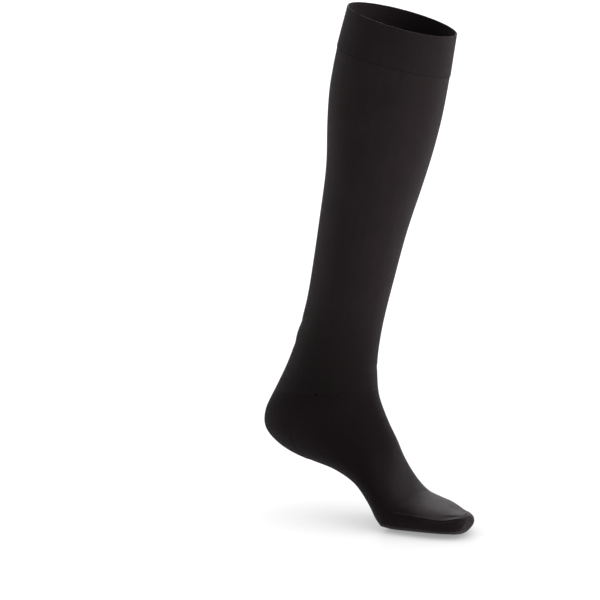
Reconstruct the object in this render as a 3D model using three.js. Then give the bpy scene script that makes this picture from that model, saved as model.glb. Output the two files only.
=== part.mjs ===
// A knee-high compression stocking for a left leg, in the form it takes when worn with the heel raised.
// Millimetres, +X towards the toe, +Y towards the outer side of the leg, +Z up.
// The stocking is knitted as one tube: a double top band, the leg, a heel pocket, the foot and a toe pocket.
import * as THREE from "three";

// Each piece is a closed wall, and pieces stand apart by the seam gap.
const LEG_WALL = 1.0;
const BAND_WALL = 1.6;
const POCKET_WALL = 1.2;
const BAND_PROUD = 0.5;
const POCKET_PROUD = 0.1;
const SEAM_GAP = 0.3;

// The toe seam is a ridge along both sides of the toe pocket. It starts a little above the middle of its
// height, climbs towards the top and fades out at the tip. SEAM_CLIMB gives its angle in degrees round the
// tube from the front, at shares of the way from the ball of the foot to the tip.
const SEAM_CLIMB = [[0, 74], [0.35, 59], [0.55, 56], [0.75, 36], [1, 20]];
const TOE_SEAM = THREE.MathUtils.degToRad(SEAM_CLIMB[0][1]);
const TOE_SEAM_HALF = THREE.MathUtils.degToRad(3);
const TOE_SEAM_HEIGHT = 0.8;
const SEAM_FADES_FROM = 0.7;

// Points around the tube, and rings along each piece.
const AROUND = 40;
const BAND_RINGS = 5;
const LEG_RINGS = 26;
const HEEL_RINGS = 13;
const FOOT_RINGS = 15;
const TOE_RINGS = 11;

// One row for each section from the top edge to the toe tip, measured in the plane that halves the foot.
// front and back are the section's ends on the shin or instep side and on the calf, heel or sole side.
// x is measured from under the ball of the foot and z from the floor.
// halfWidth is half the section's width, tilt is how far its inner side stands above its outer side,
// and side moves it to the outer side of the foot. instep and sole are how square its front and back are:
// 1 is a sharp ridge, 2 is an ellipse and 3 is a flat sole with round edges.
const COLUMNS = ["at", "frontX", "frontZ", "backX", "backZ", "halfWidth", "tilt", "side", "instep", "sole"];
const SECTIONS = [
  ["top edge", 32.5, 440.5, -63.5, 468, 48, 0, 0, 2, 2],
  ["band seam", 26.5, 404.5, -74, 431, 48.5, 5, 0, 2, 2],
  ["upper calf", 20, 371, -81.5, 396, 49, 4, 0, 2, 2],
  ["calf", 11.5, 339, -84, 361, 48, 2, 0, 2, 2],
  ["lower calf", 0.5, 305, -85, 325, 44.5, 0, 0, 2, 2],
  ["calf end", -13.5, 264, -92, 282, 38.5, 0, 0, 2, 2],
  ["shin end", -24.5, 223, -99.5, 240, 33, 0, 0, 2, 2],
  ["ankle", -34, 186, -107, 202, 29, 0, 0, 2, 2],
  ["lower ankle", -39, 160, -116, 172, 28.5, 0, 0, 2, 2],
  ["above heel", -41, 140, -126, 143, 30, 2, 0, 2, 2],
  ["heel line", -39.5, 120, -142.5, 110.5, 31, 5, 0, 2, 2],
  ["heel back", -37, 111, -151, 94, 31, 2, 0, 2, 2],
  ["heel tip", -33.5, 102.5, -151.5, 77.5, 30.5, 0, 0, 2, 2],
  ["heel base", -29.5, 94, -137.5, 64, 30, 0, 0, 1.95, 2.1],
  ["heel end", -24.5, 84, -118, 55.5, 30.5, 0, 0, 1.9, 2.2],
  ["arch", -19.5, 75, -97.5, 51, 31.5, 0, 0, 1.8, 2.3],
  ["midfoot", -16.2, 63.1, -75, 46.5, 33.5, 0, 0, 1.85, 2.4],
  ["behind ball", -12.7, 50.3, -52, 36.5, 36, 0, 0, 2, 2.5],
  ["ball back", -7, 37.7, -34.5, 19.5, 39.5, 0, 0, 2.15, 2.7],
  ["ball", 2.6, 29.1, -20.5, 1.5, 41.5, 0, 0, 2.2, 3.2],
  ["toe bend", 15.5, 24.3, 2.5, 0, 41.5, 0, 0, 2.2, 2.9],
  ["toes", 30.2, 21, 24, 0.5, 36.5, 0, -5, 2.2, 2.5],
  ["toe front", 44, 18.3, 43, 1, 28, 0, -10, 2.15, 2.3],
  ["toe end", 56, 17.8, 55, 3, 20, 0, -14, 2.1, 2.2],
  ["toe seam", 61, 14.5, 60.5, 7.5, 11, 0, -17, 2, 2],
].map((values) => Object.fromEntries(COLUMNS.map((column, i) => [column, values[i]])));

const rowOf = (name) => SECTIONS.findIndex((section) => section.at === name);
const LAST_ROW = SECTIONS.length - 1;

// The heel pocket's upper and lower sides meet at a corner on each side of the ankle.
// Its outermost column lies just short of that corner, so that the wall ends in a narrow side.
const HEEL_CORNER = THREE.MathUtils.degToRad(81);
const HEEL_TIP = THREE.MathUtils.degToRad(83.5);
const HEEL_TOP_ROW = rowOf("heel line");
const HEEL_SOLE_ROW = rowOf("arch");
const TOE_ROW = rowOf("ball");

// Smooth curves through two or three of the table's columns, read by row number.
const curveOf = (read) => new THREE.CatmullRomCurve3(SECTIONS.map(read), false, "catmullrom", 0.5);
const frontLine = curveOf((s) => new THREE.Vector3(s.frontX, 0, s.frontZ));
const backLine = curveOf((s) => new THREE.Vector3(s.backX, 0, s.backZ));
const sideLine = curveOf((s) => new THREE.Vector3(s.halfWidth, s.side, s.tilt / 2));
const squareLine = curveOf((s) => new THREE.Vector3(s.instep, s.sole, 0));

// Raises a sine or cosine to a power and keeps its sign, which squares an ellipse off.
const squared = (value, power) => Math.sign(value) * Math.abs(value) ** power;

// The point of the stocking's outer skin at a row number, and at an angle round the tube from its front.
function skin(angle, row) {
  const t = THREE.MathUtils.clamp(row / LAST_ROW, 0, 1);
  const front = frontLine.getPoint(t);
  const back = backLine.getPoint(t);
  const { x: halfWidth, y: side, z: rise } = sideLine.getPoint(t);
  const { x: instep, y: sole } = squareLine.getPoint(t);
  const power = 2 / THREE.MathUtils.lerp(instep, sole, (1 - Math.cos(angle)) / 2);
  const depth = squared(Math.cos(angle), power);
  const across = squared(Math.sin(angle), power);
  const point = front.clone().add(back).multiplyScalar(0.5);
  point.addScaledVector(front.sub(back), depth / 2);
  point.y = side + halfWidth * across;
  point.z -= rise * across;
  return point;
}

// A small step in row number or angle, over which the skin's slope is taken.
const STEP = 0.01;

// How far the skin moves for one row, along the tube.
function alongTube(angle, row) {
  const before = Math.max(row - STEP, 0);
  const after = Math.min(row + STEP, LAST_ROW);
  return skin(angle, after).sub(skin(angle, before)).divideScalar(after - before);
}

// The direction that points straight out of the skin.
function outwards(angle, row) {
  const round = skin(angle + STEP, row).sub(skin(angle - STEP, row));
  return alongTube(angle, row).cross(round).normalize();
}

const flat = () => 0;
const straight = (angle) => angle;

// The row number that lies some millimetres further along the tube.
const movedRow = (angle, row, distance) => row + distance / alongTube(angle, row).length();

// A closed wall over a stretch of the skin. angles are its columns, and first and last give the row
// numbers at each column's two ends. Its outer face stands proud of the skin, its inner face lies the
// thickness below, and raised adds a height to the outer face at a column's angle and a row. slide gives a
// column's angle at a row. A ring's columns join up, and a closed toe is sewn up flat at its last row.
function wall({ raised = flat, slide = straight, ring = true, closedToe = false, ...shape }) {
  const { angles, first, last, rings, proud, thickness } = shape;
  const columns = angles.length;
  const positions = [];
  const triangles = [];
  const grid = (offset, shortened) => {
    const start = positions.length / 3;
    for (let j = 0; j < rings; j++) {
      for (const angle of angles) {
        const end = movedRow(angle, last(angle), -shortened);
        const row = THREE.MathUtils.lerp(first(angle), end, j / (rings - 1));
        const turned = slide(angle, row);
        const point = skin(turned, row).addScaledVector(outwards(turned, row), offset(angle, row));
        positions.push(point.x, point.y, point.z);
      }
    }
    return (column, j) => start + j * columns + (column % columns);
  };
  const outside = grid((angle, row) => proud + raised(angle, row), 0);
  const inside = grid(() => proud - thickness, closedToe ? thickness : 0);
  const quad = (a, b, c, d) => triangles.push(a, b, c, a, c, d);
  const steps = ring ? columns : columns - 1;
  for (let i = 0; i < steps; i++) {
    for (let j = 0; j < rings - 1; j++) {
      quad(outside(i, j), outside(i, j + 1), outside(i + 1, j + 1), outside(i + 1, j));
      quad(inside(i, j), inside(i + 1, j), inside(i + 1, j + 1), inside(i, j + 1));
    }
    quad(outside(i, 0), outside(i + 1, 0), inside(i + 1, 0), inside(i, 0));
    if (!closedToe) {
      const j = rings - 1;
      quad(outside(i, j), inside(i, j), inside(i + 1, j), outside(i + 1, j));
    }
  }
  if (!ring) {
    const i = columns - 1;
    for (let j = 0; j < rings - 1; j++) {
      quad(outside(0, j), inside(0, j), inside(0, j + 1), outside(0, j + 1));
      quad(outside(i, j), outside(i, j + 1), inside(i, j + 1), inside(i, j));
    }
  }
  if (closedToe) {
    sewUp(outside, rings - 1, columns, (a, b, c) => triangles.push(a, c, b));
    sewUp(inside, rings - 1, columns, (a, b, c) => triangles.push(a, b, c));
  }
  const geometry = new THREE.BufferGeometry();
  geometry.setAttribute("position", new THREE.Float32BufferAttribute(positions, 3));
  geometry.setIndex(triangles);
  geometry.computeVertexNormals();
  return geometry;
}

// Joins the upper half of a last ring to its lower half, from one side of the foot to the other.
function sewUp(vertex, j, columns, triangle) {
  const quarter = columns / 4;
  const upper = (k) => vertex(quarter - k + columns, j);
  const lower = (k) => vertex(quarter + k, j);
  for (let k = 0; k < columns / 2; k++) {
    if (k > 0) triangle(upper(k), lower(k), upper(k + 1));
    if (k < columns / 2 - 1) triangle(lower(k), lower(k + 1), upper(k + 1));
  }
}

const allRound = Array.from({ length: AROUND }, (_, i) => (i * 2 * Math.PI) / AROUND);

// The same columns with some more on both sides, at the given angles from the front.
function allRoundWith(...extra) {
  const mirrored = extra.map((angle) => 2 * Math.PI - angle);
  return [...allRound, ...extra, ...mirrored].sort((a, b) => a - b);
}

const halfGap = SEAM_GAP / 2;
const below = (row) => (angle) => movedRow(angle, row, halfGap);
const above = (row) => (angle) => movedRow(angle, row, -halfGap);

// The angle from the front of the tube, the same on both sides.
const fromFront = (angle) => Math.PI - Math.abs(Math.PI - angle);

// The row number of the heel pocket's lower side. It starts level with the pocket's top at the corner
// and ends under the arch at the back.
function heelSide(angle) {
  const behindCorner = (fromFront(angle) - HEEL_CORNER) / (Math.PI - HEEL_CORNER);
  const share = THREE.MathUtils.clamp(behindCorner, 0, 1);
  return THREE.MathUtils.lerp(HEEL_TOP_ROW, HEEL_SOLE_ROW, Math.sin((share * Math.PI) / 2));
}

// How far a row is on the way from the ball of the foot to the tip, from 0 to 1.
const toeShare = (row) => THREE.MathUtils.clamp((row - TOE_ROW) / (LAST_ROW - TOE_ROW), 0, 1);

function seamAngle(share) {
  const next = Math.max(SEAM_CLIMB.findIndex(([at]) => at >= share), 1);
  const [before, angleBefore] = SEAM_CLIMB[next - 1];
  const [after, angleAfter] = SEAM_CLIMB[next];
  const degrees = THREE.MathUtils.mapLinear(share, before, after, angleBefore, angleAfter);
  return THREE.MathUtils.degToRad(degrees);
}

function seamHeight(angle, row) {
  if (Math.abs(fromFront(angle) - TOE_SEAM) > STEP) return 0;
  return TOE_SEAM_HEIGHT * (1 - THREE.MathUtils.smoothstep(toeShare(row), SEAM_FADES_FROM, 1));
}

// The toe pocket's columns slide round the tube, so that the one with the seam climbs to the top.
function climbing(angle, row) {
  const seam = seamAngle(toeShare(row));
  const front = fromFront(angle);
  const aboveSeam = (front * seam) / TOE_SEAM;
  const belowSeam = Math.PI - ((Math.PI - front) * (Math.PI - seam)) / (Math.PI - TOE_SEAM);
  const turned = front < TOE_SEAM ? aboveSeam : belowSeam;
  return angle < Math.PI ? turned : 2 * Math.PI - turned;
}

// The heel pocket's lower side crosses the rows at a slant, so its gap is widened along the tube.
const SLANT = 2.2;

const bandShape = wall({
  angles: allRound,
  first: () => 0,
  last: above(rowOf("band seam")),
  rings: BAND_RINGS,
  proud: BAND_PROUD,
  thickness: BAND_WALL,
});

const legShape = wall({
  angles: allRound,
  first: below(rowOf("band seam")),
  last: above(HEEL_TOP_ROW),
  rings: LEG_RINGS,
  proud: 0,
  thickness: LEG_WALL,
});

const heelAngles = [
  HEEL_TIP,
  ...allRound.filter((angle) => fromFront(angle) > HEEL_TIP),
  2 * Math.PI - HEEL_TIP,
];

const heelShape = wall({
  angles: heelAngles,
  first: below(HEEL_TOP_ROW),
  last: (angle) => movedRow(angle, heelSide(angle), -halfGap * SLANT),
  rings: HEEL_RINGS,
  proud: POCKET_PROUD,
  thickness: POCKET_WALL,
  ring: false,
});

const footShape = wall({
  angles: allRoundWith(HEEL_TIP),
  first: (angle) => movedRow(angle, heelSide(angle), halfGap * SLANT),
  last: above(TOE_ROW),
  rings: FOOT_RINGS,
  proud: 0,
  thickness: LEG_WALL,
});

const toeShape = wall({
  angles: allRoundWith(TOE_SEAM, TOE_SEAM + TOE_SEAM_HALF),
  first: below(TOE_ROW),
  last: () => LAST_ROW,
  rings: TOE_RINGS,
  proud: POCKET_PROUD,
  thickness: POCKET_WALL,
  raised: seamHeight,
  slide: climbing,
  closedToe: true,
});

// Dense black knit of nylon and elastane: matt, with the band and the pockets knitted closer.
function knit(name, color, roughness) {
  return new THREE.MeshStandardMaterial({ name, color, roughness, metalness: 0 });
}

const bandKnit = knit("band_knit", 0x1b191b, 0.82);
const legKnit = knit("leg_knit", 0x1f1d1f, 0.78);
const pocketKnit = knit("pocket_knit", 0x1a181a, 0.84);

function piece(name, geometry, material) {
  const mesh = new THREE.Mesh(geometry, material);
  mesh.name = name;
  return mesh;
}

// The origin is the middle of the leg opening, where the wearer's leg holds the stocking up.
const openingMiddle = skin(0, 0).add(skin(Math.PI, 0)).multiplyScalar(0.5);

const stocking = new THREE.Group();
stocking.add(
  piece("top_band", bandShape, bandKnit),
  piece("leg", legShape, legKnit),
  piece("heel_pocket", heelShape, pocketKnit),
  piece("foot", footShape, legKnit),
  piece("toe_pocket", toeShape, pocketKnit),
);
stocking.position.copy(openingMiddle).negate();

export default stocking;
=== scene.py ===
# A knee-high compression stocking in dense black knit, worn form, heel raised.
# It is knitted as one tube: double top band, leg, heel pocket, foot and toe pocket.
# Metres, +Z up, +X to the toe.
import math

import bmesh
import bpy
import numpy as np
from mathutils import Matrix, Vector
from mathutils.bvhtree import BVHTree


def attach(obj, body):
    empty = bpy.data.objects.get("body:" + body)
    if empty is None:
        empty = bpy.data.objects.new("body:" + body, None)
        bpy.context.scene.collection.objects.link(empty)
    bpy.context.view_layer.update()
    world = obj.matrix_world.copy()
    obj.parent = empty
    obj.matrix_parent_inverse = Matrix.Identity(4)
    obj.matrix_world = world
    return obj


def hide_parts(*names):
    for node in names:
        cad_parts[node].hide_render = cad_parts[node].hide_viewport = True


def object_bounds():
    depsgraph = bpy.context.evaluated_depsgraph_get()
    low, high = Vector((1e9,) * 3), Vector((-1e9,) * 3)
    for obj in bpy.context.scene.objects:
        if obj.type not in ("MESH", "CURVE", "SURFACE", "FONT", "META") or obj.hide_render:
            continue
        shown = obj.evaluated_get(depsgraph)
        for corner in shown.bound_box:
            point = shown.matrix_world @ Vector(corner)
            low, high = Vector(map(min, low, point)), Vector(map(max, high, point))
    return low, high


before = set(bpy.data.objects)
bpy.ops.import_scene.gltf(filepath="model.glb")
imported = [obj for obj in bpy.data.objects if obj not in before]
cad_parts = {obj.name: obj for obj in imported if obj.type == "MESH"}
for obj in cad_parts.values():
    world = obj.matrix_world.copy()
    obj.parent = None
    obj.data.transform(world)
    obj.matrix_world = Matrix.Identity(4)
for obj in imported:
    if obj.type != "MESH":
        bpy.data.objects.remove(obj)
cad_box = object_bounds()
MM = 0.001

# The camera stands at the photograph's angle to the foot: 28 degrees round from its inner side, looking
# 9 degrees down, 2.6 m from the floor under the ball of the foot, which shows at a named pixel.
CAMERA_ROUND = math.radians(28)
CAMERA_DOWN = math.radians(9)
CAMERA_AWAY = 2.6
IMAGE_WIDTH = 600
BALL_PIXEL = (415.0, 525.4)
PIXELS_PER_METRE = 1110
BALL_ON_FLOOR = Vector((15.5, 0, -454.25)) * MM

camera_data = bpy.data.cameras.new("camera")
camera = bpy.data.objects.new("camera", camera_data)
bpy.context.scene.collection.objects.link(camera)
bpy.context.scene.camera = camera
camera.rotation_euler = (math.pi / 2 - CAMERA_DOWN, 0, CAMERA_ROUND)
focal_pixels = PIXELS_PER_METRE * CAMERA_AWAY
camera_data.lens = focal_pixels / IMAGE_WIDTH * camera_data.sensor_width
turned = camera.rotation_euler.to_matrix()
ball_ray = turned @ Vector((
    (BALL_PIXEL[0] - IMAGE_WIDTH / 2) / focal_pixels,
    -(BALL_PIXEL[1] - IMAGE_WIDTH / 2) / focal_pixels,
    -1,
))
camera.location = BALL_ON_FLOOR - ball_ray * CAMERA_AWAY

# The studio is a white floor in white surroundings. Broad soft lights leave the middle of the leg dark: two
# from behind over the toes and the instep, one beside the shin, a weak one in front and one behind the calf.
# The floor glows, as a lit studio table does, and darkens only close to the sole, where ambient occlusion dims
# the glow: a painted soft shadow.
FLOOR_SIZE = 60.0
FLOOR_WHITE = 0.03
FLOOR_GLOW = 0.99
FLOOR_GLOW_IN_PAINTED_SHADOW = 0.3
SHADOW_REACH = 0.11
SURROUND_STRENGTH = 0.47


def soft_light(name, turn, lift, spread, strength):
    """A distant light. turn is counted round the stocking from the camera's side to the viewer's right."""
    light = bpy.data.lights.new(name, "SUN")
    light.angle = math.radians(spread)
    light.energy = strength
    lamp = bpy.data.objects.new(name, light)
    bpy.context.scene.collection.objects.link(lamp)
    lamp.rotation_euler = (math.radians(90 - lift), 0, CAMERA_ROUND + math.radians(turn))


soft_light("over_toes", turn=180, lift=16, spread=20, strength=3.0)
soft_light("behind_instep", turn=140, lift=18, spread=20, strength=1.2)
soft_light("beside_shin", turn=77, lift=9, spread=50, strength=3.4)
soft_light("in_front", turn=50, lift=12, spread=60, strength=0.5)
soft_light("behind_calf", turn=-165, lift=12, spread=25, strength=0.3)

bpy.ops.object.select_all(action="DESELECT")
bpy.ops.mesh.primitive_plane_add(size=FLOOR_SIZE, location=(0, 0, cad_box[0].z))
floor = bpy.context.object
floor.name = "studio_floor"
floor_paint = bpy.data.materials.new("floor_paint")
floor_paint.use_nodes = True
floor_shader = floor_paint.node_tree.nodes["Principled BSDF"]
floor_shader.inputs["Base Color"].default_value = (FLOOR_WHITE, FLOOR_WHITE, FLOOR_WHITE, 1)
floor_shader.inputs["Roughness"].default_value = 0.9
floor_shader.inputs["Specular IOR Level"].default_value = 0.1
floor_shader.inputs["Emission Color"].default_value = (1, 1, 1, 1)
# Ambient occlusion dims the floor's glow near the stocking: a painted shadow around the sole.
painted_shadow_cover = floor_paint.node_tree.nodes.new("ShaderNodeAmbientOcclusion")
painted_shadow_cover.inputs["Distance"].default_value = SHADOW_REACH
glow = floor_paint.node_tree.nodes.new("ShaderNodeMapRange")
glow.inputs["To Min"].default_value = FLOOR_GLOW_IN_PAINTED_SHADOW
glow.inputs["To Max"].default_value = FLOOR_GLOW
floor_paint.node_tree.links.new(painted_shadow_cover.outputs["AO"], glow.inputs["Value"])
floor_paint.node_tree.links.new(glow.outputs["Result"], floor_shader.inputs["Emission Strength"])
floor.data.materials.append(floor_paint)

# The surroundings show as white, and light the stocking less than that, so that it stays dark.
world = bpy.data.worlds.new("white_surroundings")
bpy.context.scene.world = world
world.use_nodes = True
surround = world.node_tree.nodes["Background"]
surround.inputs["Color"].default_value = (1, 1, 1, 1)
ray = world.node_tree.nodes.new("ShaderNodeLightPath")
strength = world.node_tree.nodes.new("ShaderNodeMapRange")
strength.inputs["To Min"].default_value = SURROUND_STRENGTH
strength.inputs["To Max"].default_value = 1.0
world.node_tree.links.new(ray.outputs["Is Camera Ray"], strength.inputs["Value"])
world.node_tree.links.new(strength.outputs["Result"], surround.inputs["Strength"])
bpy.context.scene.view_settings.view_transform = "Standard"

# Top band: the turned-over double welt that grips below the knee, 38 mm high, nylon and elastane.
# It is knitted on with the leg, with a rounded fold at the top edge and a fine line where the welt is linked.
#
# Sections across the tube, each at its place along it. front and back are the ends on the shin or instep side
# and on the calf, heel or sole side, as x and z in millimetres from the middle of the opening. side is how
# far its middle lies to the outer side, and half is half its width.
SECTION_COLUMNS = ("at", "front_x", "front_z", "back_x", "back_z", "side", "half")
SECTIONS = [dict(zip(SECTION_COLUMNS, values)) for values in (
    ("top edge", 48.0, -13.75, -48.0, 13.75, 0, 48.0),
    ("band seam", 42.0, -49.75, -58.5, -23.25, 0, 48.5),
    ("calf", 27.0, -115.25, -68.5, -93.25, 0, 48.0),
    ("calf end", 2.0, -190.25, -76.5, -172.25, 0, 38.5),
    ("ankle", -18.5, -268.25, -91.5, -252.25, 0, 29.0),
    ("above heel", -25.5, -314.25, -110.5, -311.25, 0, 30.0),
    ("heel line", -24.0, -334.25, -127.0, -343.75, 0, 31.0),
    ("heel back", -21.5, -343.25, -135.5, -360.25, 0, 31.0),
    ("heel tip", -18.0, -351.75, -136.0, -376.75, 0, 30.5),
    ("heel base", -14.0, -360.25, -122.0, -390.25, 0, 30.0),
    ("arch", -4.0, -379.25, -82.0, -403.25, 0, 31.5),
    ("behind ball", 2.75, -404.0, -36.5, -417.75, 0, 36.0),
    ("ball back", 8.5, -416.5, -19.0, -434.75, 0, 39.5),
    ("ball", 18.0, -425.25, -5.0, -452.75, 0, 41.5),
    ("toe bend", 31.0, -430.0, 18.0, -454.25, 0, 41.5),
    ("toes", 45.75, -433.25, 39.5, -453.75, -5, 36.5),
    ("toe front", 59.5, -435.95, 58.5, -453.25, -10, 28.0),
    ("toe end", 71.5, -436.45, 70.5, -451.25, -14, 20.0),
    ("toe tip", 76.5, -439.75, 76.0, -446.75, -17, 11.0),
)]


def column(name):
    return np.array([section[name] for section in SECTIONS]) * MM


fronts = np.stack([column("front_x"), column("front_z")], 1)
backs = np.stack([column("back_x"), column("back_z")], 1)
middles = (fronts + backs) / 2
steps_along = np.linalg.norm(np.diff(middles, axis=0), axis=1)
lengths_along = np.concatenate([[0], np.cumsum(steps_along)])
NO_LENGTH = 1e-9


def place_on_tube(points):
    """For each point: millimetres along the tube's middle from the top edge, and degrees round it from the
    front, positive to the outer side. Also the direction away from the tube's middle, and the mean radius."""
    flat = points[:, [0, 2]]
    across = (backs - fronts) / np.linalg.norm(backs - fronts, axis=1, keepdims=True)
    from_front = flat[:, None] - fronts
    past = from_front[..., 0] * -across[:, 1] + from_front[..., 1] * across[:, 0]
    before = np.clip((past > 0).sum(1) - 1, 0, len(SECTIONS) - 2)
    pick = np.arange(len(points))
    share = past[pick, before] / (past[pick, before] - past[pick, before + 1])
    share = np.clip(share, 0, 1)

    def between(values):
        values = np.asarray(values)
        mix = share if values.ndim == 1 else share[:, None]
        return values[before] * (1 - mix) + values[before + 1] * mix

    front = between(fronts)
    back = between(backs)
    middle = (front + back) / 2
    forward = (front - back) / np.linalg.norm(front - back, axis=1, keepdims=True)
    half_depth = np.linalg.norm(front - back, axis=1) / 2
    half_width = between(column("half"))
    depth = ((flat - middle) * forward).sum(1)
    width = points[:, 1] - between(column("side"))
    by_shape = np.arctan2(width / half_width, depth / half_depth)
    by_eye = np.arctan2(width, depth)
    outwards = np.stack([forward[:, 0] * depth, width, forward[:, 1] * depth], 1)
    outwards /= np.linalg.norm(outwards, axis=1, keepdims=True) + NO_LENGTH
    return {
        "along": between(lengths_along) / MM,
        "round": np.degrees((by_shape + by_eye) / 2),
        "outwards": outwards,
        "radius": (half_depth + half_width) / 2 / MM,
    }


# Creases, each a soft trough where depth is negative or a soft ridge where it is positive. along and round
# give its middle on the tube, slant turns it from running round the tube towards running along it.
CREASE_COLUMNS = ("along", "round", "length", "slant", "width", "depth")
CREASES = [dict(zip(CREASE_COLUMNS, values)) for values in (
    (287, -172, 46, -5, 3.6, -0.55),
    (296, 168, 58, 4, 4.2, 0.45),
    (305, -178, 40, 7, 3.2, -0.5),
    (268, 140, 34, -9, 4.5, -0.35),
    (292, 112, 30, -12, 3.4, -0.4),
    (301, 104, 26, -8, 3.0, 0.3),
    (311, -28, 34, 6, 3.4, -0.3),
    (320, 18, 38, -5, 3.6, -0.35),
    (329, 40, 26, -11, 3.0, 0.25),
    (58, 172, 60, 3, 5.0, -0.3),
    (72, 128, 44, -6, 4.2, -0.3),
    (238, 62, 40, 8, 4.6, -0.25),
    (205, 150, 46, -7, 5.0, -0.3),
)]


def crease_height(place):
    """The millimetres by which the creases lift or sink the cloth at each place on the tube."""
    height = np.zeros(len(place["along"]))
    for crease in CREASES:
        down = place["along"] - crease["along"]
        turn = (place["round"] - crease["round"] + 180) % 360 - 180
        sideways = np.radians(turn) * place["radius"]
        slant = math.radians(crease["slant"])
        run = sideways * math.cos(slant) + down * math.sin(slant)
        off = down * math.cos(slant) - sideways * math.sin(slant)
        fade = np.exp(-np.abs(2 * run / crease["length"]) ** 3)
        height += crease["depth"] * fade * np.exp(-(off / crease["width"]) ** 2)
    return height


RIM_ANGLE = math.radians(60)
RIM_ROUNDING = 0.12
SMALL = 0.01 * MM


def points_of(cloth):
    return np.array([vertex.co for vertex in cloth.data.vertices])


def move_to(cloth, points):
    cloth.data.vertices.foreach_set("co", points.ravel())
    cloth.data.update()


def round_rims(cloth, start, end, rounding):
    """Rounds the sharp rims that lie between two places along the tube. All three are in millimetres."""
    along = place_on_tube(points_of(cloth))["along"]
    shell = bmesh.new()
    shell.from_mesh(cloth.data)
    sharp = [edge for edge in shell.edges if edge.is_manifold and edge.calc_face_angle() > RIM_ANGLE]
    rims = [edge for edge in sharp if start <= along[edge.verts[0].index] < end]
    bmesh.ops.bevel(shell, geom=rims, offset=rounding * MM, segments=3, profile=0.5, affect="EDGES")
    shell.to_mesh(cloth.data)
    shell.free()


def cloth_from_solid(name, node, fold=None):
    """A fine smooth shell in the form of a CAD solid, with rounded rims and the creases.
    fold gives how far down the tube a folded edge reaches and its rounding, in millimetres."""
    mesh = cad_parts[node].data.copy()
    mesh.materials.clear()
    cloth = bpy.data.objects.new(name, mesh)
    bpy.context.scene.collection.objects.link(cloth)
    bpy.ops.object.select_all(action="DESELECT")
    cloth.select_set(True)
    bpy.context.view_layer.objects.active = cloth
    bpy.ops.object.mode_set(mode="EDIT")
    bpy.ops.mesh.select_all(action="SELECT")
    bpy.ops.mesh.remove_doubles(threshold=SMALL)
    bpy.ops.mesh.tris_convert_to_quads(face_threshold=math.pi, shape_threshold=math.pi)
    bpy.ops.mesh.select_all(action="DESELECT")
    bpy.ops.mesh.edges_select_sharp(sharpness=RIM_ANGLE)
    bpy.ops.transform.edge_crease(value=1)
    bpy.ops.object.mode_set(mode="OBJECT")
    finer = cloth.modifiers.new("finer", "SUBSURF")
    finer.levels = 2
    finer.render_levels = 2
    bpy.ops.object.modifier_apply(modifier=finer.name)
    fold_end = -math.inf
    if fold:
        fold_end, fold_rounding = fold
        round_rims(cloth, -math.inf, fold_end, fold_rounding)
    round_rims(cloth, fold_end, math.inf, RIM_ROUNDING)
    bpy.ops.object.shade_smooth()
    points = points_of(cloth)
    place = place_on_tube(points)
    move_to(cloth, points + place["outwards"] * (crease_height(place) * MM)[:, None])
    return cloth


def map_knit(cloth):
    """Gives the cloth a UV map that follows the knit: turns round the tube, and metres along it."""
    place = place_on_tube(points_of(cloth))
    turns = place["round"] / 360
    along = place["along"] * MM
    layer = cloth.data.uv_layers.new(name="knit")
    for polygon in cloth.data.polygons:
        corners = [turns[v] for v in polygon.vertices]
        wraps = max(corners) - min(corners) > 0.5
        for loop, v, turn in zip(polygon.loop_indices, polygon.vertices, corners):
            layer.data[loop].uv = (turn + 1 if wraps and turn < 0 else turn, along[v])


def joined_maths(tree, operation, *values):
    """A Math node. Each value is a number or the output of another node."""
    node = tree.nodes.new("ShaderNodeMath")
    node.operation = operation
    for socket, value in zip(node.inputs, values):
        if isinstance(value, (int, float)):
            socket.default_value = value
        else:
            tree.links.new(value, socket)
    return node.outputs[0]


STITCH_FULLNESS = 0.6
COURSE_FULLNESS = 0.5


def jersey_group():
    """Plain knit: columns of V-shaped stitches. Yarn is 1 on a stitch and 0 between stitches."""
    group = bpy.data.node_groups.new("jersey_knit", "ShaderNodeTree")
    for name in ("Turns", "Along", "Wales round", "Courses per metre"):
        group.interface.new_socket(name, in_out="INPUT", socket_type="NodeSocketFloat")
    group.interface.new_socket("Yarn", in_out="OUTPUT", socket_type="NodeSocketFloat")
    given = group.nodes.new("NodeGroupInput")
    result = group.nodes.new("NodeGroupOutput")

    def maths(operation, *values):
        return joined_maths(group, operation, *values)

    wale = maths("FRACT", maths("MULTIPLY", given.outputs["Turns"], given.outputs["Wales round"]))
    from_middle = maths("ABSOLUTE", maths("SUBTRACT", wale, 0.5))
    course = maths("MULTIPLY", given.outputs["Along"], given.outputs["Courses per metre"])
    course = maths("FRACT", maths("ADD", course, from_middle))
    half_stitch = maths("FRACT", maths("MULTIPLY", wale, 2.0))
    across = maths("SINE", maths("MULTIPLY", half_stitch, math.pi))
    down = maths("SINE", maths("MULTIPLY", course, math.pi))
    across = maths("POWER", across, STITCH_FULLNESS)
    down = maths("POWER", down, COURSE_FULLNESS)
    yarn = maths("MULTIPLY", across, down)
    group.links.new(yarn, result.inputs["Yarn"])
    return group


jersey = jersey_group()

# The tone drifts in soft patches about 30 mm wide. Streaks run along the wales, 60 round the tube and 25 mm
# long. Lint is the fine fuzz on the yarn: only what stands above LINT_FROM in its noise shows.
PATCH_SCALE = 34
PATCH_DEPTH = 0.5
TONE_BASE = 0.6
STREAK_SCALE = (60, 40, 1)
STREAK_DEPTH = 0.3
LINT_SCALE = 900
LINT_FROM = 0.62
LINT_GAIN = 2.5
ROUGHNESS_DRIFT = 0.16
SHEEN_TINT = (1.0, 0.93, 0.95, 1)


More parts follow.
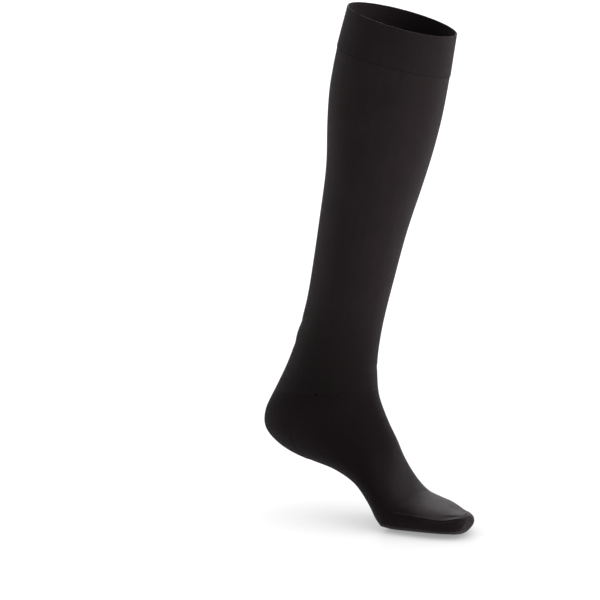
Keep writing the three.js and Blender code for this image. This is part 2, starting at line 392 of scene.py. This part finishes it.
def knit_material(name, yarn_colour, groove_painted_shade, wales, courses, relief, roughness, sheen, painted_shading_along=None):
    """Black knit. groove is how much darker it is between stitches: painted shade in the hollows of the knit.
    relief is the stitches' height in millimetres. changing gives two places along the tube, in metres, between
    which the tone changes, and the tone after them, as painted shading along the tube."""
    material = bpy.data.materials.new(name)
    material.use_nodes = True
    tree = material.node_tree
    shader = tree.nodes["Principled BSDF"]
    place = tree.nodes.new("ShaderNodeUVMap")
    place.uv_map = "knit"
    parts = tree.nodes.new("ShaderNodeSeparateXYZ")
    tree.links.new(place.outputs["UV"], parts.inputs[0])
    stitches = tree.nodes.new("ShaderNodeGroup")
    stitches.node_tree = jersey
    stitches.inputs["Wales round"].default_value = wales
    stitches.inputs["Courses per metre"].default_value = courses
    tree.links.new(parts.outputs["X"], stitches.inputs["Turns"])
    tree.links.new(parts.outputs["Y"], stitches.inputs["Along"])
    where = tree.nodes.new("ShaderNodeTexCoord")
    patches = tree.nodes.new("ShaderNodeTexNoise")
    patches.inputs["Scale"].default_value = PATCH_SCALE
    patches.inputs["Detail"].default_value = 4
    tree.links.new(where.outputs["Object"], patches.inputs["Vector"])
    stretched = tree.nodes.new("ShaderNodeMapping")
    stretched.inputs["Scale"].default_value = STREAK_SCALE
    tree.links.new(place.outputs["UV"], stretched.inputs["Vector"])
    streaks = tree.nodes.new("ShaderNodeTexNoise")
    streaks.inputs["Scale"].default_value = 1
    streaks.inputs["Detail"].default_value = 2
    tree.links.new(stretched.outputs["Vector"], streaks.inputs["Vector"])
    lint = tree.nodes.new("ShaderNodeTexNoise")
    lint.inputs["Scale"].default_value = LINT_SCALE
    lint.inputs["Detail"].default_value = 3
    tree.links.new(where.outputs["Object"], lint.inputs["Vector"])
    # Between the stitches the colour is darker: painted shade in the hollows of the knit.
    shade = joined_maths(tree, "MULTIPLY_ADD", stitches.outputs["Yarn"], 1 - groove_painted_shade, groove_painted_shade)
    drift = joined_maths(tree, "MULTIPLY_ADD", patches.outputs["Fac"], PATCH_DEPTH, TONE_BASE)
    drift = joined_maths(tree, "MULTIPLY_ADD", streaks.outputs["Fac"], STREAK_DEPTH, drift)
    fuzz = joined_maths(tree, "SUBTRACT", lint.outputs["Fac"], LINT_FROM)
    fuzz = joined_maths(tree, "MAXIMUM", fuzz, 0.0)
    drift = joined_maths(tree, "MULTIPLY_ADD", fuzz, LINT_GAIN, drift)
    shade = joined_maths(tree, "MULTIPLY", shade, drift)
    # Painted shading along the tube: darker towards the ankle on the leg, lighter towards the tip on the toe.
    if painted_shading_along:
        painted_shading_ramp = tree.nodes.new("ShaderNodeMapRange")
        painted_shading_ramp.interpolation_type = "SMOOTHSTEP"
        tree.links.new(parts.outputs["Y"], painted_shading_ramp.inputs["Value"])
        for socket, value in zip(("From Min", "From Max", "To Max"), painted_shading_along):
            painted_shading_ramp.inputs[socket].default_value = value
        painted_shading_ramp.inputs["To Min"].default_value = 1.0
        shade = joined_maths(tree, "MULTIPLY", shade, painted_shading_ramp.outputs["Result"])
    smoothest = roughness - ROUGHNESS_DRIFT / 2
    dullness = joined_maths(tree, "MULTIPLY_ADD", patches.outputs["Fac"], ROUGHNESS_DRIFT, smoothest)
    tree.links.new(dullness, shader.inputs["Roughness"])
    colour = tree.nodes.new("ShaderNodeVectorMath")
    colour.operation = "SCALE"
    colour.inputs[0].default_value = yarn_colour
    tree.links.new(shade, colour.inputs["Scale"])
    tree.links.new(colour.outputs[0], shader.inputs["Base Color"])
    bump = tree.nodes.new("ShaderNodeBump")
    bump.inputs["Strength"].default_value = 1.0
    bump.inputs["Distance"].default_value = relief * MM
    tree.links.new(stitches.outputs["Yarn"], bump.inputs["Height"])
    tree.links.new(bump.outputs["Normal"], shader.inputs["Normal"])
    shader.inputs["Specular IOR Level"].default_value = 0.06
    shader.inputs["Sheen Weight"].default_value = sheen
    shader.inputs["Sheen Roughness"].default_value = 0.25
    shader.inputs["Sheen Tint"].default_value = SHEEN_TINT
    return material


# The welt's own knit is closer, with more courses to the metre than the leg has.
band = cloth_from_solid("top_band_cloth", "top_band", fold=(12, 0.65))
map_knit(band)
band.data.materials.append(knit_material(
    "band_knit_black", (0.0190, 0.0142, 0.0152), 0.55,
    wales=400, courses=1500, relief=0.12, roughness=0.85, sheen=0.13,
))
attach(band, "root")
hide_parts("top_band")

# Leg: the long tube from the welt to the ankle, fine opaque jersey with a laid-in elastane yarn.
# It is knitted straight on to the welt, and the two rims close up to a hair's breadth there. Its colour
# darkens towards the ankle: painted shade, as less light reaches the lower leg.
leg = cloth_from_solid("leg_cloth", "leg")
map_knit(leg)
leg.data.materials.append(knit_material(
    "leg_knit_black", (0.0205, 0.0152, 0.0162), 0.5,
    wales=400, courses=1400, relief=0.12, roughness=0.8, sheen=0.14, painted_shading_along=(0.235, 0.345, 0.56),
))
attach(leg, "root")
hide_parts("leg")

SEAM_REACH = 0.6 * MM
SEAM_LEFT = 0.02 * MM
FACES_OUT = 0.5


def surface_of(cloth):
    return BVHTree.FromPolygons(
        [vertex.co for vertex in cloth.data.vertices],
        [polygon.vertices for polygon in cloth.data.polygons],
    )


def close_seam(one, other):
    """Draws the facing rims of two pieces together. Gives the points of the seam on the outer side."""
    moved = []
    seam = []
    for cloth, neighbour in ((one, other), (other, one)):
        surface = surface_of(neighbour)
        points = points_of(cloth)
        outwards = place_on_tube(points)["outwards"]
        for i, vertex in enumerate(cloth.data.vertices):
            nearest, _, _, distance = surface.find_nearest(vertex.co, SEAM_REACH)
            if nearest is None or distance < SEAM_LEFT:
                continue
            points[i] = vertex.co.lerp(nearest, (1 - SEAM_LEFT / distance) / 2)
            if vertex.normal.dot(Vector(outwards[i])) > FACES_OUT:
                seam.append(points[i])
        moved.append((cloth, points))
    for cloth, points in moved:
        move_to(cloth, points)
    return np.array(seam)


BIN_DEGREES = 3


def evenly_spaced(path, spacing):
    """The same path with points at an even spacing in millimetres."""
    reached = np.concatenate([[0], np.cumsum(np.linalg.norm(np.diff(path, axis=0), axis=1))])
    wanted = np.arange(0, reached[-1], spacing * MM)
    return np.stack([np.interp(wanted, reached, path[:, axis]) for axis in range(3)], 1)


def seam_path(seam, spacing):
    """Evenly spaced points along a seam that runs round the tube."""
    turn = np.mod(place_on_tube(seam)["round"], 360)
    bins = [np.abs(turn - middle) < BIN_DEGREES / 2 for middle in np.arange(BIN_DEGREES / 2, 360, BIN_DEGREES)]
    return evenly_spaced(np.array([seam[near].mean(0) for near in bins if near.any()]), spacing)


def sewn_thread(name, path, stitch, thickness, cloths):
    """A mesh of round thread, with one stitch at each point of the path. stitch gives the points of one
    stitch in millimetres: along the seam, across it and above the cloth."""
    surfaces = [surface_of(cloth) for cloth in cloths]
    outwards = place_on_tube(path)["outwards"]
    curve = bpy.data.curves.new(name, "CURVE")
    curve.dimensions = "3D"
    curve.bevel_depth = thickness / 2 * MM
    curve.bevel_resolution = 1
    for before, middle, after, out in zip(path[:-2], path[1:-1], path[2:], outwards[1:-1]):
        ahead = Vector(after - before).normalized()
        aside = Vector(out).cross(ahead).normalized()
        spline = curve.splines.new("POLY")
        spline.points.add(len(stitch) - 1)
        for knot, (run, off, lift) in zip(spline.points, stitch):
            wanted = Vector(middle) + (ahead * run + aside * off) * MM
            found = min((surface.find_nearest(wanted) for surface in surfaces), key=lambda hit: hit[3])
            knot.co = (*(found[0] + found[1] * lift * MM), 1)
    thread = bpy.data.objects.new(name, curve)
    bpy.context.scene.collection.objects.link(thread)
    bpy.ops.object.select_all(action="DESELECT")
    thread.select_set(True)
    bpy.context.view_layer.objects.active = thread
    bpy.ops.object.convert(target="MESH")
    thread = bpy.context.object
    bpy.ops.object.shade_smooth()
    return thread


PLY_SCALE = 900
PLY_UNEVEN = 2
PLY_DEPTH = 0.6
PLY_BASE = 0.7
THREAD_ROUGHNESS = 0.7
THREAD_ROUGHNESS_DRIFT = 0.15


def thread_material(name, colour):
    """Spun thread: fine plies that run slantwise, uneven in tone."""
    material = bpy.data.materials.new(name)
    material.use_nodes = True
    tree = material.node_tree
    shader = tree.nodes["Principled BSDF"]
    where = tree.nodes.new("ShaderNodeTexCoord")
    plies = tree.nodes.new("ShaderNodeTexWave")
    plies.bands_direction = "DIAGONAL"
    plies.inputs["Scale"].default_value = PLY_SCALE
    plies.inputs["Distortion"].default_value = PLY_UNEVEN
    tree.links.new(where.outputs["Object"], plies.inputs["Vector"])
    plies_seen = plies.outputs["Fac"]
    shade = joined_maths(tree, "MULTIPLY_ADD", plies_seen, PLY_DEPTH, PLY_BASE)
    tint = tree.nodes.new("ShaderNodeVectorMath")
    tint.operation = "SCALE"
    tint.inputs[0].default_value = colour
    tree.links.new(shade, tint.inputs["Scale"])
    tree.links.new(tint.outputs[0], shader.inputs["Base Color"])
    dullness = joined_maths(tree, "MULTIPLY_ADD", plies_seen, THREAD_ROUGHNESS_DRIFT, THREAD_ROUGHNESS)
    tree.links.new(dullness, shader.inputs["Roughness"])
    shader.inputs["Specular IOR Level"].default_value = 0.1
    return material


# Linking stitches: the fine yarn that closes the doubled welt on to the first course of the leg.
YARN_THICKNESS = 0.22
LINK_SPACING = 1.7
LINK_STITCH = ((-0.6, 0.25, 0.05), (-0.2, -0.35, 0.12), (0.3, 0.35, 0.12), (0.7, -0.25, 0.05))
band_seam = seam_path(close_seam(band, leg), LINK_SPACING)
links = sewn_thread("welt_link_stitches", band_seam, LINK_STITCH, YARN_THICKNESS, [band, leg])
links.data.materials.append(thread_material("link_yarn_black", (0.0150, 0.0110, 0.0120)))
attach(links, "root")

# Heel pocket: the closer-knitted wedge that turns the tube at the heel.
heel = cloth_from_solid("heel_pocket_cloth", "heel_pocket")
map_knit(heel)
# The pockets' black is darker than the leg's: painted shade, as less light reaches the heel and the toes.
POCKET_BLACK_PAINTED_SHADE = (0.0104, 0.0069, 0.0077)
heel.data.materials.append(knit_material(
    "heel_knit_black", POCKET_BLACK_PAINTED_SHADE, 0.55,
    wales=420, courses=1500, relief=0.12, roughness=0.85, sheen=0.12,
))
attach(heel, "root")
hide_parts("heel_pocket")

# Foot: the tube from the heel pocket to the ball of the foot, of the leg's yarns. Its colour is about half as
# bright as the leg's: painted shade, as less light reaches the foot.
foot = cloth_from_solid("foot_cloth", "foot")
map_knit(foot)
foot.data.materials.append(knit_material(
    "foot_knit_black", (0.0107, 0.0072, 0.0080), 0.5,
    wales=400, courses=1400, relief=0.12, roughness=0.8, sheen=0.13,
))
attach(foot, "root")
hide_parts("foot")

# Fashioning stitches: where the pocket's courses are picked up again, a small stitch crosses the gore line.
GORE_SPACING = 3.2
GORE_STITCH = ((-0.25, 0.45, -0.04), (0.0, 0.0, 0.05), (0.25, -0.45, -0.04))
close_seam(leg, heel)
close_seam(leg, foot)
gore = seam_path(close_seam(heel, foot), GORE_SPACING)
close_seam(leg, heel)
close_seam(leg, foot)
picks = sewn_thread("heel_gore_stitches", gore, GORE_STITCH, YARN_THICKNESS, [heel, foot])
# The gore yarn is darker than the link yarn, like the cloth around it: painted shade.
picks.data.materials.append(thread_material("gore_yarn_black", (0.0080, 0.0055, 0.0061)))
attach(picks, "root")

# Toe pocket: the closer-knitted end, sewn shut by an overlock seam that climbs both sides of the toes and
# crosses over their tips. It stands up as a ridge, with the cloth drawn in above it and a full lip below it.
toe = cloth_from_solid("toe_pocket_cloth", "toe_pocket")
map_knit(toe)
# The toe's colour brightens towards the tip: painted light on the nose of the toe, over the pockets' painted
# shade.
toe.data.materials.append(knit_material(
    "toe_knit_black", POCKET_BLACK_PAINTED_SHADE, 0.55,
    wales=420, courses=1500, relief=0.12, roughness=0.82, sheen=0.13, painted_shading_along=(0.484, 0.525, 1.45),
))
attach(toe, "root")
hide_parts("toe_pocket")

# The seam's line: degrees from the front, at shares of the way from the ball of the foot to the tip.
SEAM_SHARES = (0.0, 0.2, 0.35, 0.55, 0.7, 0.76, 0.79)
SEAM_ANGLES = (74, 65, 59, 56, 41, 22, 0)
SEAM_STARTS = 0.01
SEAM_POINTS = 80
BALL = [section["at"] for section in SECTIONS].index("ball")
TIP = len(SECTIONS) - 1


def toe_point(share, degrees):
    """The point of the toe pocket at a share of the way to the tip, and at degrees from the front."""
    station = BALL + (TIP - BALL) * share
    stations = np.arange(len(SECTIONS))
    forward = (1 + math.cos(math.radians(degrees))) / 2
    front_x, front_z, back_x, back_z, side, half = (
        np.interp(station, stations, column(name))
        for name in ("front_x", "front_z", "back_x", "back_z", "side", "half")
    )
    return Vector((
        back_x + (front_x - back_x) * forward,
        side + half * math.sin(math.radians(degrees)),
        back_z + (front_z - back_z) * forward,
    ))


def toe_seam():
    """Points on the toe pocket along its seam: up the outer side, over the tips and down the inner side."""
    surface = surface_of(toe)
    shares = np.linspace(SEAM_STARTS, SEAM_SHARES[-1], SEAM_POINTS)
    angles = np.interp(shares, SEAM_SHARES, SEAM_ANGLES)
    outer = [toe_point(share, angle) for share, angle in zip(shares, angles)]
    inner = [toe_point(share, -angle) for share, angle in zip(shares, angles)][-2::-1]
    return np.array([surface.find_nearest(point)[0] for point in outer + inner])


# What the seam does to the cloth: the ridge over the tips, the trough above it and the full lip below it.
# Each grows between two shares of the way up to the tip. height, place above the seam and width are in
# millimetres.
SWELL_COLUMNS = ("grows_from", "full_at", "height", "place", "width")
SWELLS = [dict(zip(SWELL_COLUMNS, values)) for values in (
    (0.7, 0.85, 0.5, 0.0, 1.1),
    (0.2, 0.7, -1.1, 3.2, 2.2),
    (0.2, 0.7, 0.9, -2.8, 2.4),
)]
SEAM_PITCH = 0.5
seam_line = evenly_spaced(toe_seam(), SEAM_PITCH)
to_tip = 1 - np.abs(np.linspace(-1, 1, len(seam_line)))
ahead = np.gradient(seam_line, axis=0)
ahead /= np.linalg.norm(ahead, axis=1, keepdims=True)
below = np.cross(place_on_tube(seam_line)["outwards"], ahead)
toe_points = points_of(toe)
nearest = np.array([np.argmin(((seam_line - point) ** 2).sum(1)) for point in toe_points])
above = -((toe_points - seam_line[nearest]) * below[nearest]).sum(1) / MM
lift = np.zeros(len(toe_points))
for swell in SWELLS:
    grown = np.interp(to_tip[nearest], (swell["grows_from"], swell["full_at"]), (0, 1))
    lift += swell["height"] * grown * np.exp(-((above - swell["place"]) / swell["width"]) ** 2)
move_to(toe, toe_points + place_on_tube(toe_points)["outwards"] * (lift * MM)[:, None])

# The slope of the instep eases into that of the toes on both sides of the joint at the ball of the foot.
EASE_REACH = 8
EASE_LIFT = 0.37
for cloth in (foot, toe):
    points = points_of(cloth)
    place = place_on_tube(points)
    near = np.clip(1 - np.abs(place["along"] - lengths_along[BALL] / MM) / EASE_REACH, 0, 1) ** 2
    on_top = np.sqrt(np.clip(np.cos(np.radians(place["round"])), 0, 1))
    move_to(cloth, points + place["outwards"] * (EASE_LIFT * near * on_top * MM)[:, None])
close_seam(foot, toe)

# Overlock stitches: loops of thread over the ridge of the toe seam, from one side of the foot to the other.
THREAD_THICKNESS = 0.28
OVERLOCK_SPACING = 2.2
OVERLOCK_STITCH = (
    (-0.5, 1.2, 0.0), (-0.3, 0.6, 0.12), (0.0, 0.0, 0.16), (0.2, -0.6, 0.12), (0.5, -1.2, 0.0),
)
overlock_path = evenly_spaced(toe_seam(), OVERLOCK_SPACING)
overlock = sewn_thread("toe_seam_stitches", overlock_path, OVERLOCK_STITCH, THREAD_THICKNESS, [toe])
overlock.data.materials.append(thread_material("seam_thread_black", (0.0130, 0.0090, 0.0100)))
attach(overlock, "root")
